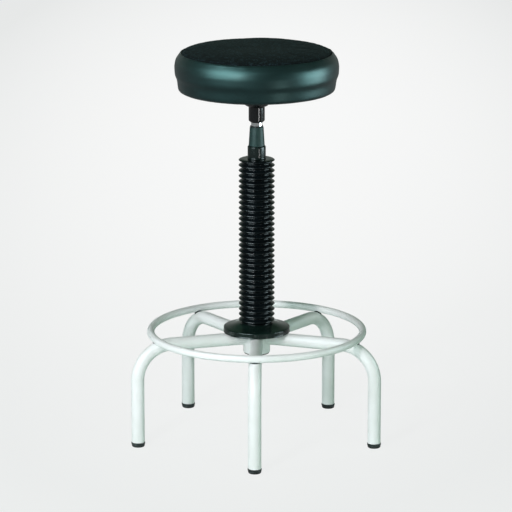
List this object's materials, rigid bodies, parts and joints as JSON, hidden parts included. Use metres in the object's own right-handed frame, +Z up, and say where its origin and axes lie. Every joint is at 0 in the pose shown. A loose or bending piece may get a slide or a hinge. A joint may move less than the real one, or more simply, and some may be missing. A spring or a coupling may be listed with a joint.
{
  "type": "upholstered stool",
  "caption": "Round padded work stool on bent tube legs with a foot ring, its seat turning on a screw-lift column under a ribbed bellows.",
  "frame": {"origin": "on the floor, under the middle of the object's box", "axes": "+Z up along the column; -Y towards the front leg, which faces the viewer; +X to the viewer's right"},
  "size_m": [0.5414, 0.5226, 0.867],
  "materials": {
    "white_enamel": "gloss",
    "foot_plastic": "matt",
    "bare_steel": "oiled",
    "bronze": "machined",
    "skirt_plastic": "gloss",
    "bellows_rubber": "semi-gloss",
    "collar_plastic": "gloss",
    "bush_nylon": "natural",
    "sleeve_plastic": "satin",
    "wiper_rubber": "matt",
    "chromed_steel": "polished",
    "black_enamel": "gloss",
    "zinc_plate": "zinc plated",
    "plywood": "sanded",
    "foam": "open cell",
    "vinyl": "smooth satin",
    "panel_fabric": "matt woven",
    "base_cloth": "non-woven"
  },
  "bodies": {
    "base": {"hub": "white_enamel", "leg_front": "white_enamel", "leg_right_front": "white_enamel", "leg_right_back": "white_enamel", "leg_left_back": "white_enamel", "leg_left_front": "white_enamel", "foot_front": "foot_plastic", "foot_right_front": "foot_plastic", "foot_right_back": "foot_plastic", "foot_left_back": "foot_plastic", "foot_left_front": "foot_plastic", "foot_ring_front_right": "white_enamel", "foot_ring_right": "white_enamel", "foot_ring_back": "white_enamel", "foot_ring_left": "white_enamel", "foot_ring_front_left": "white_enamel", "guide_tube": "bare_steel", "hub_plug": "foot_plastic", "lift_nut": "bronze", "skirt": "skirt_plastic", "bellows": "bellows_rubber"},
    "collar": {"collar": "collar_plastic", "collar_bush": "bush_nylon", "sleeve": "sleeve_plastic", "wiper_ring": "wiper_rubber", "bellows_retainer": "collar_plastic"},
    "seat": {"spindle": "chromed_steel", "spindle_clip": "bare_steel", "seat_hub": "black_enamel", "centre_screw": "zinc_plate", "seat_screw_1": "zinc_plate", "seat_screw_2": "zinc_plate", "seat_screw_3": "zinc_plate", "seat_screw_4": "zinc_plate", "seat_board": "plywood", "seat_foam": "foam", "side_cover": "vinyl", "top_panel": "panel_fabric", "base_cloth": "base_cloth"}
  },
  "joints": [
    {"name": "lift", "type": "slide", "parent": "base", "child": "collar", "axis": [0, 0, 1], "range_m": [-0.18, 0], "deforming": ["bellows"]},
    {"name": "turn", "type": "hinge", "parent": "collar", "child": "seat", "pos_m": [0, 0.02269, 0.6973], "axis": [0, 0, 1], "range_deg": [-8100, 0]}
  ],
  "couplings": [
    {"joint": "lift", "follows": "turn", "m_per_rad": 0.0012732}
  ]
}
